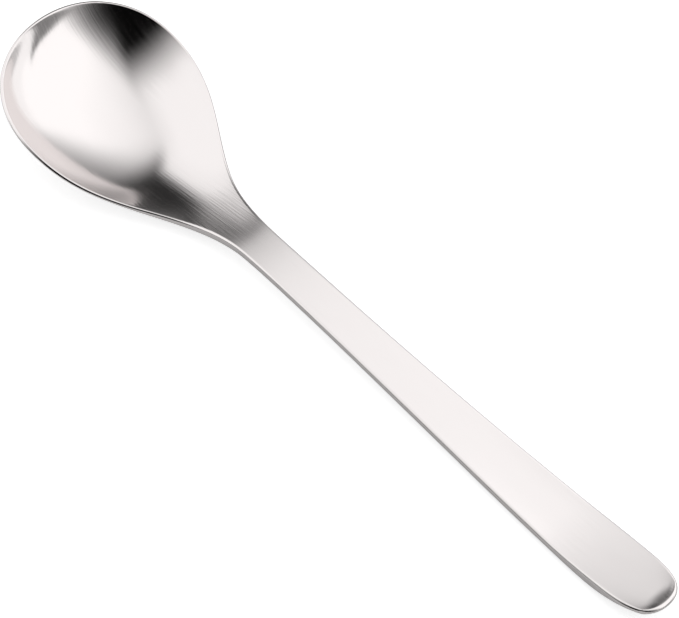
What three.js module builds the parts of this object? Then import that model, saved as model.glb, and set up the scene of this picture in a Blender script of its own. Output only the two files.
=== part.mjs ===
// Dessert spoon, pressed and ground from one piece of stainless steel.
// Millimetres, +Z up. The spoon lies on the flat under its bowl and on the back of its handle.
// The handle points along +X, and the origin is on the table under the middle of the length.

import * as THREE from "three";

// Plan: lengths along the spoon and full widths across it
const length = 180; // bowl tip to handle end
const tipToWidest = 19.7; // bowl tip to the widest place of the bowl
const tipToSaddle = 49; // bowl tip to the lowest place of the edges, behind the bowl
const tipToCrest = 66; // bowl tip to the top of the neck, where the hollow has run out
const tipToNeck = 67.5; // bowl tip to the narrowest place of the neck
const tipToKeel = 33; // bowl tip to the deepest place of the bowl
const endToTouch = 32.3; // handle end to the line where the handle touches the table
const endToWidest = 12.3; // handle end to the widest place of the handle
const bowlWidth = 40.1;
const neckWidth = 7.9;
const handleWidth = 13.1;

// Side view: heights above the table of the upper edges
const tipHeight = 15.75;
const saddleHeight = 4.8;
const crestHeight = 6.17;
const endHeight = 5.93;

// Sheet: thickness, the flat land along its edge and the rounding outside the land
const bowlThickness = 1.15;
const neckThickness = 2.75;
const handleThickness = 2.6;
const endThickness = 2;
const landWidth = 0.45;
const rimRound = 0.3;
const handleRound = 0.5;
const roundLimit = 0.45; // the most of the thickness that one rounding may take
const tipToThickening = 38; // bowl tip to where the sheet starts to thicken towards the neck
const thickeningLength = 20;
const restFlatDepth = 0.12; // ground off under the bowl, so that it stands on a small flat

// Slopes of the side view at the ends, as rise over run
const rimSlope = 0.2; // the rim falls from the tip towards the neck
const tipWallSlope = 2.3; // the floor of the bowl falls more steeply from the tip
const endSlope = 0.26; // the edges of the handle turn up at its end
const endFloorSlope = 0.42; // the middle turns up more steeply there, which leaves a shallow dish

// Fullness of each curve: how far it keeps its direction at each end, as a share of its own span
const tipFullness = [0.53, 0.62];
const shoulderFullness = [0.42, 0.51];
const gripFullness = [0.39, 0.14];
const endFullness = [0.44, 0.79];
const rimFullness = [0.79, 0.26];
const neckFullness = [0.3, 0.43];
const backFullness = [0.3, 0.66];
const upturnFullness = [0.51, 0.2];
const frontFloorFullness = [0.16, 0.39];
const backFloorFullness = [0.22, 0.29];
const endFloorFullness = [0.57, 0.18];

// Section of the bowl: a power of 2 is a parabola, and more is a flatter floor with steeper sides.
const tipHollowPower = 2.6;
const neckHollowPower = 2.2;

// Facets: steps along each stretch of the outline, and across the spoon
const tipSteps = 12;
const shoulderSteps = 18;
const gripSteps = 14;
const endSteps = 9;
const stepsAcross = 15; // odd, so that a level strip lies under the middle of the bowl
const roundSteps = 2;

const point = (x, y) => new THREE.Vector2(x, y);

// A curve that leaves its start and reaches its end in the given directions, each held for a share of the span.
function easedCurve(start, startTurn, end, endTurn, [startHold, endHold]) {
  const span = end.clone().sub(start);
  const reach = (turn, hold) => turn.clone().multiplyScalar(hold * (turn.x ? span.x / turn.x : Math.abs(span.y)));
  const leave = start.clone().add(reach(startTurn, startHold));
  const arrive = end.clone().sub(reach(endTurn, endHold));
  return new THREE.CubicBezierCurve(start, leave, arrive, end);
}

const along = point(1, 0);
const outwards = point(0, 1);
const inwards = point(0, -1);

// The outline of one side, from the tip of the bowl to the end of the handle
const tip = point(0, 0);
const widest = point(tipToWidest, bowlWidth / 2);
const narrowest = point(tipToNeck, neckWidth / 2);
const flare = point(length - endToWidest, handleWidth / 2);
const end = point(length, 0);
const outline = [
  { curve: easedCurve(tip, outwards, widest, along, tipFullness), steps: tipSteps },
  { curve: easedCurve(widest, along, narrowest, along, shoulderFullness), steps: shoulderSteps },
  { curve: easedCurve(narrowest, along, flare, along, gripFullness), steps: gripSteps },
  { curve: easedCurve(flare, along, end, inwards, endFullness), steps: endSteps },
];

// The side view of the upper edges: down the rim, over the neck, down the handle and up at its end
const tipTop = point(0, tipHeight);
const saddle = point(tipToSaddle, saddleHeight);
const crest = point(tipToCrest, crestHeight);
const touch = point(length - endToTouch, handleThickness);
const endTop = point(length, endHeight);
const edgeLine = [
  easedCurve(tipTop, point(1, -rimSlope), saddle, along, rimFullness),
  easedCurve(saddle, along, crest, along, neckFullness),
  easedCurve(crest, along, touch, along, backFullness),
  easedCurve(touch, along, endTop, point(1, endSlope), upturnFullness),
];

// The side view of the middle: down to the floor of the bowl, up to the neck, along the handle and into its dish
const innerTip = point(landWidth + rimRound, heightOn(edgeLine, landWidth + rimRound));
const keel = point(tipToKeel, bowlThickness - restFlatDepth);
const middleLine = [
  easedCurve(innerTip, point(1, -tipWallSlope), keel, along, frontFloorFullness),
  easedCurve(keel, along, crest, along, backFloorFullness),
  edgeLine[2],
  easedCurve(touch, along, endTop, point(1, endFloorSlope), endFloorFullness),
];

// The height of a side-view line at a distance from the tip. Every curve runs forwards, so halving finds the place.
function heightOn(line, distance) {
  const curve = line.find((stretch) => distance <= stretch.v3.x) ?? line.at(-1);
  let low = 0;
  let high = 1;
  while (high - low > Number.EPSILON) {
    const middle = (low + high) / 2;
    if (curve.getPoint(middle).x < distance) low = middle;
    else high = middle;
  }
  return curve.getPoint(low).y;
}

const thickening = (distance) =>
  THREE.MathUtils.smoothstep(distance, tipToThickening, tipToThickening + thickeningLength);

function thicknessAt(distance) {
  const grown = THREE.MathUtils.lerp(bowlThickness, neckThickness, thickening(distance));
  const handleShare = THREE.MathUtils.smoothstep(distance, tipToCrest, length - endToTouch);
  const endShare = THREE.MathUtils.smoothstep(distance, length - endToTouch, length);
  return grown + (handleThickness - neckThickness) * handleShare + (endThickness - handleThickness) * endShare;
}

// The edge's rounding leaves at least a little straight wall between its upper and lower arcs.
function roundAt(distance) {
  const wanted = THREE.MathUtils.lerp(rimRound, handleRound, thickening(distance));
  return Math.min(wanted, roundLimit * thicknessAt(distance));
}

// The upper face, with across running from -1 at one edge to 1 at the other
function upperHeight(distance, across) {
  const edge = heightOn(edgeLine, distance);
  const depth = edge - heightOn(middleLine, distance);
  const neckShare = Math.min(1, distance / tipToCrest);
  const power = THREE.MathUtils.lerp(tipHollowPower, neckHollowPower, neckShare);
  return edge - depth * (1 - Math.abs(across) ** power);
}

// The lower face follows the upper one at the sheet's thickness, ground flat where it meets the table.
const lowerHeight = (distance, across) => Math.max(0, upperHeight(distance, across) - thicknessAt(distance));

// Places along the outline, each with the direction that points into the spoon
function outlineStations() {
  const stations = [];
  outline.forEach(({ curve, steps }, stretch) => {
    const last = stretch === outline.length - 1 ? steps : steps - 1;
    for (let step = 0; step <= last; step += 1) {
      const place = curve.getPoint(step / steps);
      const run = curve.getTangent(step / steps);
      stations.push({ place, inward: point(run.y, -run.x) });
    }
  });
  return stations;
}

// The loft: two faces of rows across the spoon, joined by a rounded edge band that runs all the way round
function spoonGeometry() {
  const stations = outlineStations();
  const lastRow = stations.length - 1;
  const corners = [];
  const triangles = [];

  const addCorner = (x, y, z) => corners.push(x, y, z) / 3 - 1;
  const addQuad = (a, b, c, d) => {
    if (a !== b && b !== c && a !== c) triangles.push(a, b, c);
    if (a !== c && c !== d && a !== d) triangles.push(a, c, d);
  };

  // One face, set in from the edge: a single corner at the tip and at the end, and a row at every other station
  function addFace(heightAt, land) {
    return stations.map(({ place, inward }, row) => {
      const inset = inward.clone().multiplyScalar(land + roundAt(place.x)).add(place);
      if (row === 0 || row === lastRow) {
        const corner = addCorner(inset.x, 0, heightAt(inset.x, 1));
        return Array(stepsAcross + 1).fill(corner);
      }
      return Array.from({ length: stepsAcross + 1 }, (_, column) => {
        const across = -Math.cos((Math.PI * column) / stepsAcross);
        return addCorner(inset.x, across * inset.y, heightAt(inset.x, across));
      });
    });
  }

  // The corners of one ring of the edge band, in step with a face's outermost corners
  function addRing(turn, faceHeight, towardsWall) {
    const sideOf = (side) =>
      stations.map(({ place, inward }, row) => {
        if (side > 0 && (row === 0 || row === lastRow)) return null;
        const round = roundAt(place.x);
        const inset = inward.clone().multiplyScalar(round * (1 - Math.sin(turn))).add(place);
        const faceDistance = place.x + inward.x * round;
        const height = faceHeight(faceDistance, 1) + towardsWall * round * (1 - Math.cos(turn));
        return addCorner(inset.x, side * inset.y, height);
      });
    return loopOf(sideOf(-1), sideOf(1));
  }

  // Once round the spoon: along the near side to the end, and back along the far side
  const loopOf = (near, far) => [...near, ...far.slice(1, lastRow).reverse()];

  const upper = addFace(upperHeight, landWidth);
  const lower = addFace(lowerHeight, 0);
  for (let row = 0; row < lastRow; row += 1) {
    for (let column = 0; column < stepsAcross; column += 1) {
      addQuad(upper[row][column], upper[row + 1][column], upper[row + 1][column + 1], upper[row][column + 1]);
      addQuad(lower[row][column + 1], lower[row + 1][column + 1], lower[row + 1][column], lower[row][column]);
    }
  }

  const edgeOf = (face) => loopOf(face.map((row) => row[0]), face.map((row) => row[stepsAcross]));
  const turns = Array.from({ length: roundSteps }, (_, step) => ((step + 1) / roundSteps) * (Math.PI / 2));
  const rings = [
    edgeOf(upper),
    addRing(0, upperHeight, -1),
    ...turns.map((turn) => addRing(turn, upperHeight, -1)),
    ...turns.toReversed().map((turn) => addRing(turn, lowerHeight, 1)),
    edgeOf(lower),
  ];
  for (let ring = 0; ring < rings.length - 1; ring += 1) {
    const above = rings[ring];
    const below = rings[ring + 1];
    above.forEach((corner, place) => {
      const next = (place + 1) % above.length;
      addQuad(corner, below[place], below[next], above[next]);
    });
  }

  const geometry = new THREE.BufferGeometry();
  geometry.setAttribute("position", new THREE.Float32BufferAttribute(corners, 3));
  geometry.setIndex(triangles);
  geometry.computeVertexNormals();
  return geometry;
}

const steel = new THREE.MeshStandardMaterial({ color: 0xcfcac8, metalness: 1, roughness: 0.32 });
const spoon = new THREE.Mesh(spoonGeometry(), steel);
spoon.name = "spoon";
spoon.position.x = -length / 2;

const dessertSpoon = new THREE.Group();
dessertSpoon.add(spoon);

export default dessertSpoon;
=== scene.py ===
import math

import bmesh
import bpy
import numpy as np
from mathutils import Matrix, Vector
from mathutils.geometry import interpolate_bezier


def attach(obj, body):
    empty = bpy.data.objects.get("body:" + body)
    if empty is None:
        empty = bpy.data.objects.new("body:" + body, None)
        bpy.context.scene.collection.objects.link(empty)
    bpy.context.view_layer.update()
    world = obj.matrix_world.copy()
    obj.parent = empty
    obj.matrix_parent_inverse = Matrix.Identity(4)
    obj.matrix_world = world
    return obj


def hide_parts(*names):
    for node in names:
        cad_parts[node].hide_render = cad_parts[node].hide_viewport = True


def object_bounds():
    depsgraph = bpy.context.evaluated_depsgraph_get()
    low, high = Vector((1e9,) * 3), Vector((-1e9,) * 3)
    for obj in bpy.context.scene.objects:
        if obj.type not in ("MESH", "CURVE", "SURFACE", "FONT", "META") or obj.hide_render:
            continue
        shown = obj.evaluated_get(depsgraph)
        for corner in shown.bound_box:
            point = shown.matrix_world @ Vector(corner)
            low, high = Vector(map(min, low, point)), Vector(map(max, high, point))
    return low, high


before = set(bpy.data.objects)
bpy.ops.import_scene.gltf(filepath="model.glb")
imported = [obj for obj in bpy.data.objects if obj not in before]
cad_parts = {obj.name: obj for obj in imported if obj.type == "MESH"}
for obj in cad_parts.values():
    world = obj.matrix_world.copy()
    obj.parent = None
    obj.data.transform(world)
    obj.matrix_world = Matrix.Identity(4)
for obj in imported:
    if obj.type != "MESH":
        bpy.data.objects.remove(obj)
cad_low, cad_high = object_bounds()

# Sizes of the spoon are in millimetres until they reach the mesh.
# Distances run along it from the tip of the bowl, or back from the end of the handle.
MM = 0.001
LENGTH = (cad_high.x - cad_low.x) / MM
BOWL_WIDTH = (cad_high.y - cad_low.y) / MM

# Plan of the spoon
TIP_TO_WIDEST = 19.7
TIP_TO_SADDLE = 49
TIP_TO_CREST = 65.2
TIP_TO_NECK = 67.5
TIP_TO_KEEL = 35
END_TO_LOWEST = 30
END_TO_WIDEST = 15.1
END_TRIM = 0.25
NECK_WIDTH = 8.1
HANDLE_WIDTH = 12.95
TIP_TO_LOWEST = LENGTH - END_TO_LOWEST
TIP_TO_FLARE = LENGTH - END_TO_WIDEST
TIP_TO_END = LENGTH - END_TRIM

# Side view of the edges, and of the floor between them. Slopes are rise over run.
TIP_HEIGHT = 15.5
SADDLE_HEIGHT = 4.3
CREST_HEIGHT = 6.0
LOWEST_HEIGHT = 2.62
END_HEIGHT = 5.05
KEEL_HEIGHT = 1.0
RIM_SLOPE = -0.2
TIP_WALL_SLOPE = -2.2
END_SLOPE = 0.15

# Fullness of each curve: how far it holds its direction at its start and at its end, as shares of its span
TIP_HOLD = (0.53, 0.62)
SHOULDER_HOLD = (0.42, 0.51)
GRIP_HOLD = (0.39, 0.11)
END_HOLD = (1.1, 0.41)
RIM_HOLD = (0.79, 0.26)
NECK_HOLD = (0.3, 0.43)
BACK_HOLD = (0.18, 0.45)
UPTURN_HOLD = (0.32, 0.1)
FRONT_FLOOR_HOLD = (0.15, 0.2)
BACK_FLOOR_HOLD = (0.14, 0.27)

# Sheet: its thickness, where that changes, and how far its upper edge leans in
RIM_THICKNESS = 0.8
BOWL_THICKNESS = 1.0
NECK_THICKNESS = 2.0
HANDLE_THICKNESS = 1.75
FLARE_THICKNESS = 2.4
END_THICKNESS = 1.15
RIM_GRIND = 5
END_TO_THIN = 3
TIP_TO_THICKENING = 36
THICKENING_LENGTH = 26
THINNING_LENGTH = 35
RIM_LEAN = 0.28
END_LEAN = 0.25

# Hollows of the bowl and the handle.
# A power of 2 is a parabola, and more is a flatter floor with steeper sides.
TIP_HOLLOW_POWER = 2.95
MIDDLE_HOLLOW_POWER = 2.25
NECK_HOLLOW_POWER = 1.6
END_HOLLOW_POWER = 3
TIP_TO_MIDDLE = 30
HOLLOW_DEPTH = 0.27
HOLLOW_LENGTH = 35
END_TO_HOLLOW = 2.7
END_LAND = 1.3

# Rounding of the edges, and smoothing of the whole
RIM_ROUND = 0.3
HANDLE_ROUND = 0.55
SHARP_ANGLE = math.radians(40)
BEVEL_SEGMENTS = 4
SMOOTHING = 2

# Cage: where its rows of corners start and stop, how many there are, and how the columns crowd.
# Crowding above 0 draws the columns towards the edges, and below 0 towards the middle.
TIP_CORNER = 4.6
END_CORNER = 3.2
TIP_TO_END_CORNER = TIP_TO_END - END_CORNER
TIP_ROWS = 8
SHOULDER_ROWS = 22
GRIP_ROWS = 20
END_ROWS = 20
SIDE_COLUMNS = 10
BOWL_CROWDING = 0.6
HANDLE_CROWDING = -0.6
TIP_CURVED_ROWS = 16
END_CURVED_ROWS = 18
LINE_POINTS = 600

# Keeps a division from meeting zero
TINY = 1e-6

# Viewpoint, in metres and radians. The lens is in pixels of the photo, and the sensor in millimetres.
CAMERA_TURN = math.radians(46.208)
CAMERA_RISE = math.radians(57)
CAMERA_DISTANCE = 1.0
CAMERA_DROP = Vector((0, 0, -0.00017))
AIM = Vector((-0.00451, 0.00339, -0.00017))
FOCAL_PIXELS = 5051.9
IMAGE_WIDTH = 679
SENSOR_WIDTH = 36


def curve_points(*corners):
    flat = [Vector((x, y, 0)) for x, y in corners]
    return [(p.x, p.y) for p in interpolate_bezier(*flat, LINE_POINTS)]


def eased_curve(start, start_slope, end, end_slope, hold):
    """A curve that leaves and arrives at the given slopes, each held for a share of the run."""
    run = end[0] - start[0]
    leave = (start[0] + hold[0] * run, start[1] + hold[0] * run * start_slope)
    arrive = (end[0] - hold[1] * run, end[1] - hold[1] * run * end_slope)
    return curve_points(start, leave, arrive, end)


def rounded_corner(start, end, hold):
    """A curve that leaves straight outwards from the middle of an end, and arrives along the spoon."""
    leave = (start[0], start[1] + hold[0] * (end[1] - start[1]))
    arrive = (end[0] - hold[1] * (end[0] - start[0]), end[1])
    return curve_points(start, leave, arrive, end)


def joined(*curves):
    return np.array([p for curve in curves for p in curve])


def blend(low, high, share):
    return low + (high - low) * share


def smooth_step(x, low, high):
    share = np.clip((x - low) / (high - low), 0, 1)
    return share * share * (3 - 2 * share)


def thickening(x):
    return smooth_step(x, TIP_TO_THICKENING, TIP_TO_THICKENING + THICKENING_LENGTH)


def thickness(x, from_edge):
    """The sheet is ground thin towards the bowl's rim, and swells before it thins to the handle's end."""
    bowl = blend(RIM_THICKNESS, BOWL_THICKNESS, smooth_step(from_edge, 0, RIM_GRIND))
    grown = blend(bowl, NECK_THICKNESS, thickening(x))
    thinning = smooth_step(x, TIP_TO_CREST, TIP_TO_CREST + THINNING_LENGTH)
    swelling = smooth_step(x, TIP_TO_LOWEST, TIP_TO_FLARE)
    ending = smooth_step(x, TIP_TO_FLARE, TIP_TO_END - END_TO_THIN)
    grip = (HANDLE_THICKNESS - NECK_THICKNESS) * thinning
    flare = (FLARE_THICKNESS - HANDLE_THICKNESS) * swelling
    end = (END_THICKNESS - FLARE_THICKNESS) * ending
    return grown + grip + flare + end


def lean(x):
    """How far the upper edge stands in from the outline, because the edge is square to the sloping sheet."""
    return RIM_LEAN * (1 - thickening(x)) + END_LEAN * smooth_step(x, TIP_TO_LOWEST, LENGTH)


# The outline of one side, from the tip of the bowl to the end of the handle
WIDEST = (TIP_TO_WIDEST, BOWL_WIDTH / 2)
NARROWEST = (TIP_TO_NECK, NECK_WIDTH / 2)
FLARE = (TIP_TO_FLARE, HANDLE_WIDTH / 2)
END_CURVE = rounded_corner((TIP_TO_END, 0), FLARE, END_HOLD)
OUTLINE = joined(
    rounded_corner((0, 0), WIDEST, TIP_HOLD),
    eased_curve(WIDEST, 0, NARROWEST, 0, SHOULDER_HOLD),
    eased_curve(NARROWEST, 0, FLARE, 0, GRIP_HOLD),
    END_CURVE[::-1],
)

# The side view of the edges: down the rim, over the neck, down the handle and up at its end
SADDLE = (TIP_TO_SADDLE, SADDLE_HEIGHT)
CREST = (TIP_TO_CREST, CREST_HEIGHT)
LOWEST = (TIP_TO_LOWEST, LOWEST_HEIGHT)
END_TOP = (TIP_TO_END, END_HEIGHT)
BACK = eased_curve(CREST, 0, LOWEST, 0, BACK_HOLD)
UPTURN = eased_curve(LOWEST, 0, END_TOP, END_SLOPE, UPTURN_HOLD)
EDGE_LINE = joined(
    eased_curve((0, TIP_HEIGHT), RIM_SLOPE, SADDLE, 0, RIM_HOLD),
    eased_curve(SADDLE, 0, CREST, 0, NECK_HOLD),
    BACK,
    UPTURN,
)


def edge_height(x):
    return np.interp(x, EDGE_LINE[:, 0], EDGE_LINE[:, 1])


# The side view of the middle: down to the floor of the bowl, up to the neck and along the handle
KEEL = (TIP_TO_KEEL, KEEL_HEIGHT)
INNER_TIP = (RIM_LEAN, float(edge_height(RIM_LEAN)))
FLOOR_LINE = joined(
    eased_curve(INNER_TIP, TIP_WALL_SLOPE, KEEL, 0, FRONT_FLOOR_HOLD),
    eased_curve(KEEL, 0, CREST, 0, BACK_FLOOR_HOLD),
    BACK,
    UPTURN,
)


def floor_height(x):
    return np.interp(x, FLOOR_LINE[:, 0], FLOOR_LINE[:, 1])


def inset_outline():
    """The upper face's own outline: the spoon's outline, moved in by the lean of the edge."""
    run = np.gradient(OUTLINE, axis=0)
    run /= np.maximum(np.linalg.norm(run, axis=1, keepdims=True), TINY)
    inward = np.stack([run[:, 1], -run[:, 0]], axis=1)
    return OUTLINE + inward * lean(OUTLINE[:, 0])[:, None]


FACE_OUTLINE = inset_outline()


def half_width(x):
    return np.interp(x, FACE_OUTLINE[:, 0], FACE_OUTLINE[:, 1])


def distance_from_edge(x, y):
    return float(np.min(np.hypot(FACE_OUTLINE[:, 0] - x, FACE_OUTLINE[:, 1] - abs(y))))


def handle_hollow(x):
    """The handle is pressed in a little towards its end, inside a lip that follows the outline."""
    deepening = smooth_step(x, TIP_TO_LOWEST - HOLLOW_LENGTH, TIP_TO_LOWEST)
    lip = smooth_step(x, TIP_TO_END - END_TO_HOLLOW, TIP_TO_END - END_LAND)
    return HOLLOW_DEPTH * deepening * (1 - lip)


def face_height(x, y):
    across = min(1, abs(y) / max(float(half_width(x)), TINY))
    edge = edge_height(x)
    depth = edge - floor_height(x) + handle_hollow(x)
    places = [0, TIP_TO_MIDDLE, TIP_TO_CREST, TIP_TO_FLARE]
    powers = [TIP_HOLLOW_POWER, MIDDLE_HOLLOW_POWER, NECK_HOLLOW_POWER, END_HOLLOW_POWER]
    power = np.interp(x, places, powers)
    return float(edge - depth * (1 - across**power))


def row_ends():
    """Where each row of the cage meets the edge, from the tip on. The last rows lie closer together."""
    stops = [TIP_CORNER, TIP_TO_WIDEST, TIP_TO_CREST, TIP_TO_LOWEST]
    counts = [TIP_ROWS, SHOULDER_ROWS, GRIP_ROWS]
    ends = [TIP_CORNER]
    for low, high, count in zip(stops, stops[1:], counts):
        ends.extend(np.linspace(low, high, count + 1)[1:])
    share = np.linspace(0, 1, END_ROWS + 1)[1:]
    slowing = (share + np.sin(share * math.pi / 2)) / 2
    ends.extend(blend(TIP_TO_LOWEST, TIP_TO_END_CORNER, slowing))
    return ends


def cage_places():
    """The place of every corner of the cage, row by row. Near both ends the rows bend with the outline."""
    ends = row_ends()
    last = len(ends) - 1
    even = np.linspace(-1, 1, 2 * SIDE_COLUMNS + 1)
    crowded = np.sin(even * math.pi / 2)
    widest = int(np.argmax(FACE_OUTLINE[:, 1]))
    tip_side = FACE_OUTLINE[:widest]
    end_side = FACE_OUTLINE[-LINE_POINTS:][::-1]
    tip_width = half_width(TIP_CORNER)
    end_width = half_width(TIP_TO_END_CORNER)
    places = []
    for row, end in enumerate(ends):
        tip_share = max(0, 1 - row / TIP_CURVED_ROWS)
        end_share = max(0, 1 - (last - row) / END_CURVED_ROWS)
        crowding = blend(BOWL_CROWDING, HANDLE_CROWDING, thickening(end))
        line = []
        for across in blend(even, crowded, crowding):
            tip_x = np.interp(abs(across) * tip_width, tip_side[:, 1], tip_side[:, 0])
            end_x = np.interp(abs(across) * end_width, end_side[:, 1], end_side[:, 0])
            x = end - tip_share * (TIP_CORNER - tip_x) + end_share * (end_x - TIP_TO_END_CORNER)
            y = across * half_width(end)
            z = edge_height(x) if row in (0, last) else face_height(x, y)
            line.append(Vector((x - LENGTH / 2, y, z)) * MM)
        places.append(line)
    return places


def select_only(bm, verts):
    for v in bm.verts:
        v.select_set(False)
    for v in verts:
        v.select_set(True)
    bm.select_flush_mode()


def add_modifier(piece, kind, **settings):
    modifier = piece.modifiers.new(kind.title(), kind)
    for name, value in settings.items():
        setattr(modifier, name, value)
    bpy.ops.object.modifier_apply(modifier=modifier.name)


def shape_grid(piece, places, rows, columns):
    """Move the grid's corners to their places, each together with its twin on the other side."""
    bpy.ops.object.mode_set(mode="EDIT")
    bm = bmesh.from_edit_mesh(piece.data)
    # The grid is 1 long and 1 wide, so its first corner is at -0.5.
    cage = {(round((v.co.x + 0.5) * rows), round((v.co.y + 0.5) * columns)): v for v in bm.verts}
    for row, line in enumerate(places):
        for column in range(SIDE_COLUMNS + 1):
            target = line[column]
            corner = cage[row, column]
            twin = cage[row, columns - column]
            select_only(bm, {corner, twin})
            spread = target.y / corner.co.y if corner.co.y else 1
            bpy.ops.transform.resize(value=(1, spread, 1), center_override=(0, 0, 0))
            bpy.ops.transform.translate(value=(target.x - corner.co.x, 0, target.z))
    bpy.ops.object.mode_set(mode="OBJECT")


def set_sheet_gauge(piece):
    """Give every corner its thickness, as a share of the thickest place."""
    gauge = piece.vertex_groups.new(name="sheet_gauge")
    for v in piece.data.vertices:
        x = v.co.x / MM + LENGTH / 2
        sheet = thickness(x, distance_from_edge(x, v.co.y / MM))
        gauge.add([v.index], float(sheet) / FLARE_THICKNESS, "REPLACE")


def mark_sharp_edges(piece):
    """Give every sharp edge its rounding, as a share of the handle's."""
    bpy.ops.object.mode_set(mode="EDIT")
    bm = bmesh.from_edit_mesh(piece.data)
    weight = bm.edges.layers.float.new("bevel_weight_edge")
    for edge in bm.edges:
        if edge.calc_face_angle(0) > SHARP_ANGLE:
            x = (edge.verts[0].co.x + edge.verts[1].co.x) / 2 / MM + LENGTH / 2
            edge[weight] = float(blend(RIM_ROUND, HANDLE_ROUND, thickening(x))) / HANDLE_ROUND
    bpy.ops.object.mode_set(mode="OBJECT")


def make_spoon():
    places = cage_places()
    rows = len(places) - 1
    columns = 2 * SIDE_COLUMNS
    bpy.ops.mesh.primitive_grid_add(x_subdivisions=rows, y_subdivisions=columns, size=1)
    piece = bpy.context.object
    piece.name = "spoon_satin"
    shape_grid(piece, places, rows, columns)
    set_sheet_gauge(piece)
    add_modifier(
        piece,
        "SOLIDIFY",
        thickness=FLARE_THICKNESS * MM,
        offset=-1,
        vertex_group="sheet_gauge",
        use_even_offset=True,
    )
    mark_sharp_edges(piece)
    add_modifier(
        piece,
        "BEVEL",
        limit_method="WEIGHT",
        width=HANDLE_ROUND * MM,
        segments=BEVEL_SEGMENTS,
        use_clamp_overlap=False,
    )
    add_modifier(piece, "SUBSURF", levels=SMOOTHING, render_levels=SMOOTHING)
    bpy.ops.object.shade_smooth()
    return piece


class Nodes:
    """A node tree with short calls for the few kinds of node that the materials use."""

    def __init__(self, tree):
        self.tree = tree
        tree.nodes.clear()

    def add(self, kind, **settings):
        node = self.tree.nodes.new(kind)
        for name, value in settings.items():
            setattr(node, name, value)
        return node

    def feed(self, socket, value):
        if isinstance(value, bpy.types.NodeSocket):
            self.tree.links.new(value, socket)
        else:
            socket.default_value = value

    def show(self, shader):
        output = self.add("ShaderNodeOutputMaterial")
        self.feed(output.inputs["Surface"], shader.outputs[0])

    def calculate(self, operation, *values):
        node = self.add("ShaderNodeMath", operation=operation)
        for socket, value in zip(node.inputs, values):
            self.feed(socket, value)
        return node.outputs[0]

    def times(self, first, second):
        return self.calculate("MULTIPLY", first, second)

    def minus(self, first, second):
        return self.calculate("SUBTRACT", first, second)

    def line(self, value, slope, offset):
        return self.calculate("MULTIPLY_ADD", value, slope, offset)

    def dot(self, vector, direction):
        node = self.add("ShaderNodeVectorMath", operation="DOT_PRODUCT")
        self.feed(node.inputs[0], vector)
        self.feed(node.inputs[1], direction)
        return node.outputs["Value"]

    def soft_step(self, value, middle, half, low=0.0, high=1.0):
        node = self.add("ShaderNodeMapRange", interpolation_type="SMOOTHSTEP")
        self.feed(node.inputs["Value"], value)
        self.feed(node.inputs["From Min"], middle - half)
        self.feed(node.inputs["From Max"], middle + half)
        self.feed(node.inputs["To Min"], low)
        self.feed(node.inputs["To Max"], high)
        return node.outputs[0]

    def ramp(self, value, start, end, start_value, end_value):
        node = self.add("ShaderNodeMapRange")
        for socket, number in zip(node.inputs, (value, start, end, start_value, end_value)):
            self.feed(socket, number)
        return node.outputs[0]


def new_material(name):
    material = bpy.data.materials.new(name)
    material.use_nodes = True
    return material, Nodes(material.node_tree)


# Brushed steel, with its streaks in metres
STEEL_COLOUR = (0.765, 0.73, 0.724, 1)
FINE_STREAK_LENGTH = 0.006
FINE_STREAK_WIDTH = 0.0002
FINE_STREAK_DETAIL = 2
FINE_STREAK_SHARE = 0.5
BROAD_STREAK_LENGTH = 0.009
BROAD_STREAK_WIDTH = 0.0004
BROAD_STREAK_DETAIL = 3
BRUSH_DEPTH = 0.00001
FAINT_STREAK = 0.3
STRONG_STREAK = 0.7
SMOOTH_ROUGHNESS = 0.09
BRUSHED_ROUGHNESS = 0.16


def satin_steel():
    material, nodes = new_material("satin_steel")
    steel = nodes.add("ShaderNodeBsdfPrincipled")
    nodes.show(steel)
    nodes.feed(steel.inputs["Metallic"], 1)
    nodes.feed(steel.inputs["Base Color"], STEEL_COLOUR)

    def streaks(length, width, detail):
        """Brush marks that run along the spoon."""
        stretch = nodes.add("ShaderNodeMapping")
        nodes.feed(stretch.inputs["Vector"], nodes.add("ShaderNodeTexCoord").outputs["Object"])
        nodes.feed(stretch.inputs["Scale"], (1 / length, 1 / width, 0))
        noise = nodes.add("ShaderNodeTexNoise")
        nodes.feed(noise.inputs["Vector"], stretch.outputs[0])
        nodes.feed(noise.inputs["Scale"], 1)
        nodes.feed(noise.inputs["Detail"], detail)
        return noise.outputs["Fac"]

    fine = streaks(FINE_STREAK_LENGTH, FINE_STREAK_WIDTH, FINE_STREAK_DETAIL)
    broad = streaks(BROAD_STREAK_LENGTH, BROAD_STREAK_WIDTH, BROAD_STREAK_DETAIL)
    bump = nodes.add("ShaderNodeBump")
    nodes.feed(bump.inputs["Height"], nodes.line(fine, FINE_STREAK_SHARE, broad))
    nodes.feed(bump.inputs["Strength"], 1)
    nodes.feed(bump.inputs["Distance"], BRUSH_DEPTH)
    nodes.feed(steel.inputs["Normal"], bump.outputs[0])
    roughness = nodes.ramp(broad, FAINT_STREAK, STRONG_STREAK, SMOOTH_ROUGHNESS, BRUSHED_ROUGHNESS)
    nodes.feed(steel.inputs["Roughness"], roughness)
    return material


# Floor: paper that also glows, more to the camera than in the steel's reflections
FLOOR_SIZE = 8
FLOOR_COLOUR = (0.6, 0.6, 0.6, 1)
FLOOR_CAMERA_GLOW = 0.74
FLOOR_STEEL_GLOW = 0.05


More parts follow.
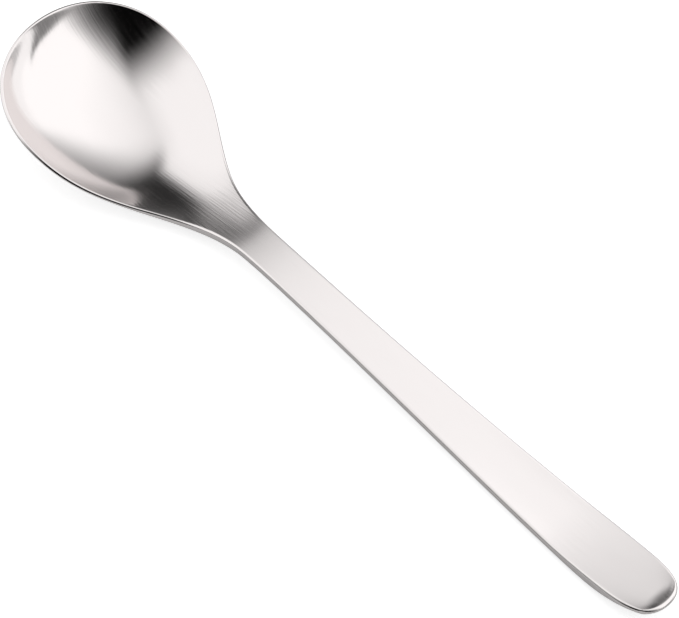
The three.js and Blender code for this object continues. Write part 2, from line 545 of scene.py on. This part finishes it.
def paper_floor():
    material, nodes = new_material("paper_floor")
    paper = nodes.add("ShaderNodeBsdfDiffuse")
    nodes.feed(paper.inputs["Color"], FLOOR_COLOUR)
    seen = nodes.add("ShaderNodeLightPath")
    in_steel = nodes.times(seen.outputs["Is Glossy Ray"], FLOOR_STEEL_GLOW)
    strength = nodes.line(seen.outputs["Is Camera Ray"], FLOOR_CAMERA_GLOW, in_steel)
    glow = nodes.add("ShaderNodeEmission")
    nodes.feed(glow.inputs["Strength"], strength)
    both = nodes.add("ShaderNodeAddShader")
    nodes.feed(both.inputs[0], paper.outputs[0])
    nodes.feed(both.inputs[1], glow.outputs[0])
    nodes.show(both)
    return material


def make_floor():
    bpy.ops.mesh.primitive_plane_add(size=FLOOR_SIZE)
    floor = bpy.context.object
    floor.name = "floor"
    floor.data.materials.append(paper_floor())


# Studio: a light tent with two white sides that meet in a seam overhead.
# Places on it are parts of the direction from its centre, where 1 is straight right, front or up.
TENT_RADIUS = 0.55
TENT_CENTRE = (-0.06, 0, 0)
TENT_SEGMENTS = 64
TENT_RINGS = 32
SEAM_PLACE = -0.13
SEAM_TURN = 0.062
SEAM_SOFT = 0.11

# Each side darkens to the front and to the back:
# where that starts, how the start turns away from the seam, and over what reach it darkens
RIGHT_FRONT_START = -0.067
RIGHT_FRONT_TURN = 0.822
RIGHT_FRONT_FADE = 0.995
RIGHT_BACK_START = 0.282
RIGHT_BACK_TURN = 0.58
RIGHT_BACK_FADE = 0.61
LEFT_FRONT_START = 0.022
LEFT_FRONT_TURN = 0.492
LEFT_FRONT_FADE = 0.433
LEFT_BACK_START = 0.756
LEFT_BACK_TURN = 0.224
LEFT_BACK_FADE = 0.139
FADE_ROUND = 0.1
BACK_GLOW = 0.003

# Brightness of each side at the seam and away from it, and the distance over which it changes
RIGHT_SEAM_GLOW = 1.02
RIGHT_GLOW = 1.32
RIGHT_RAMP = 0.53
LEFT_SEAM_GLOW = 1.045
LEFT_GLOW = 1.2
LEFT_RAMP = 0.277

# A dark gap under the cloth at the front, the dimmer cloth near the floor, and the room's own light
GAP_HEIGHT = 0.45
GAP_FALL = 0.38
GAP_START = 0.44
GAP_TILT = 0.95
GAP_SOFT = 0.05
GAP_GLOW = 0.2
LOW_HEIGHT = 0.27
LOW_SOFT = 0.06
LOW_GLOW = 0.92
ROOM_GLOW = 0.002


def tent_cloth():
    material, nodes = new_material("tent_cloth")
    to_front = (math.sin(CAMERA_TURN), -math.cos(CAMERA_TURN), 0)
    to_back = (-math.sin(CAMERA_TURN), math.cos(CAMERA_TURN), 0)
    to_right = (math.cos(CAMERA_TURN), math.sin(CAMERA_TURN), 0)
    normalize = nodes.add("ShaderNodeVectorMath", operation="NORMALIZE")
    nodes.feed(normalize.inputs[0], nodes.add("ShaderNodeTexCoord").outputs["Object"])
    toward = normalize.outputs[0]
    across = nodes.dot(toward, to_right)
    front = nodes.dot(toward, to_front)
    back = nodes.dot(toward, to_back)
    height = nodes.dot(toward, (0, 0, 1))
    past_seam = nodes.minus(across, nodes.line(front, SEAM_TURN, SEAM_PLACE))

    def fade(towards, start, turn, reach, least=0):
        """1 up to the start, then falling to the least over the reach, fast at first."""
        past_start = nodes.line(past_seam, turn, nodes.minus(towards, start))
        past = nodes.calculate("SMOOTH_MAX", past_start, 0, FADE_ROUND)
        share = nodes.ramp(past, 0, reach, 1, 0)
        return nodes.ramp(nodes.times(share, share), 0, 1, least, 1)

    right_front = fade(front, RIGHT_FRONT_START, -RIGHT_FRONT_TURN, RIGHT_FRONT_FADE)
    right_back = fade(back, RIGHT_BACK_START, -RIGHT_BACK_TURN, RIGHT_BACK_FADE, BACK_GLOW)
    right_glow = nodes.ramp(past_seam, 0, RIGHT_RAMP, RIGHT_SEAM_GLOW, RIGHT_GLOW)
    right = nodes.times(right_glow, nodes.times(right_front, right_back))

    left_front = fade(front, LEFT_FRONT_START, LEFT_FRONT_TURN, LEFT_FRONT_FADE)
    left_back = fade(back, LEFT_BACK_START, LEFT_BACK_TURN, LEFT_BACK_FADE, BACK_GLOW)
    left_glow = nodes.ramp(past_seam, -LEFT_RAMP, 0, LEFT_GLOW, LEFT_SEAM_GLOW)
    left = nodes.times(left_glow, nodes.times(left_front, left_back))

    side = nodes.soft_step(past_seam, 0, SEAM_SOFT)
    walls = nodes.line(nodes.minus(right, left), side, left)

    under_cloth = nodes.minus(nodes.line(front, -GAP_FALL, GAP_HEIGHT), height)
    past_corner = nodes.minus(nodes.line(height, GAP_TILT, front), GAP_START)
    under_edge = nodes.soft_step(under_cloth, 0, GAP_SOFT)
    beyond_corner = nodes.soft_step(past_corner, 0, GAP_SOFT)
    gap = nodes.times(under_edge, beyond_corner)
    low_cloth = nodes.soft_step(height, LOW_HEIGHT, LOW_SOFT, LOW_GLOW, 1)
    shade = nodes.times(nodes.line(gap, GAP_GLOW - 1, 1), low_cloth)

    light = nodes.add("ShaderNodeEmission")
    nodes.feed(light.inputs["Strength"], nodes.line(walls, shade, ROOM_GLOW))
    nodes.show(light)
    return material


def make_studio():
    bpy.ops.mesh.primitive_uv_sphere_add(
        segments=TENT_SEGMENTS, ring_count=TENT_RINGS, radius=TENT_RADIUS, location=TENT_CENTRE
    )
    tent = bpy.context.object
    tent.name = "light_tent"
    tent.visible_camera = False
    tent.data.materials.append(tent_cloth())
    bpy.ops.object.shade_smooth()
    world = bpy.data.worlds.new("white_room")
    world.use_nodes = True
    world.node_tree.nodes["Background"].inputs["Color"].default_value = (1, 1, 1, 1)
    bpy.context.scene.world = world


def make_camera():
    back = Vector(
        (
            math.sin(CAMERA_TURN) * math.cos(CAMERA_RISE),
            -math.cos(CAMERA_TURN) * math.cos(CAMERA_RISE),
            math.sin(CAMERA_RISE),
        )
    )
    data = bpy.data.cameras.new("camera")
    camera = bpy.data.objects.new("camera", data)
    bpy.context.scene.collection.objects.link(camera)
    camera.location = back * CAMERA_DISTANCE + CAMERA_DROP
    camera.rotation_mode = "QUATERNION"
    camera.rotation_quaternion = (AIM - camera.location).to_track_quat("-Z", "Y")
    data.sensor_width = SENSOR_WIDTH
    data.lens = FOCAL_PIXELS / IMAGE_WIDTH * data.sensor_width
    bpy.context.scene.camera = camera


spoon = make_spoon()
spoon.data.materials.append(satin_steel())
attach(spoon, "root")
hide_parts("spoon")
make_floor()
make_studio()
make_camera()
bpy.context.scene.view_settings.view_transform = "Standard"
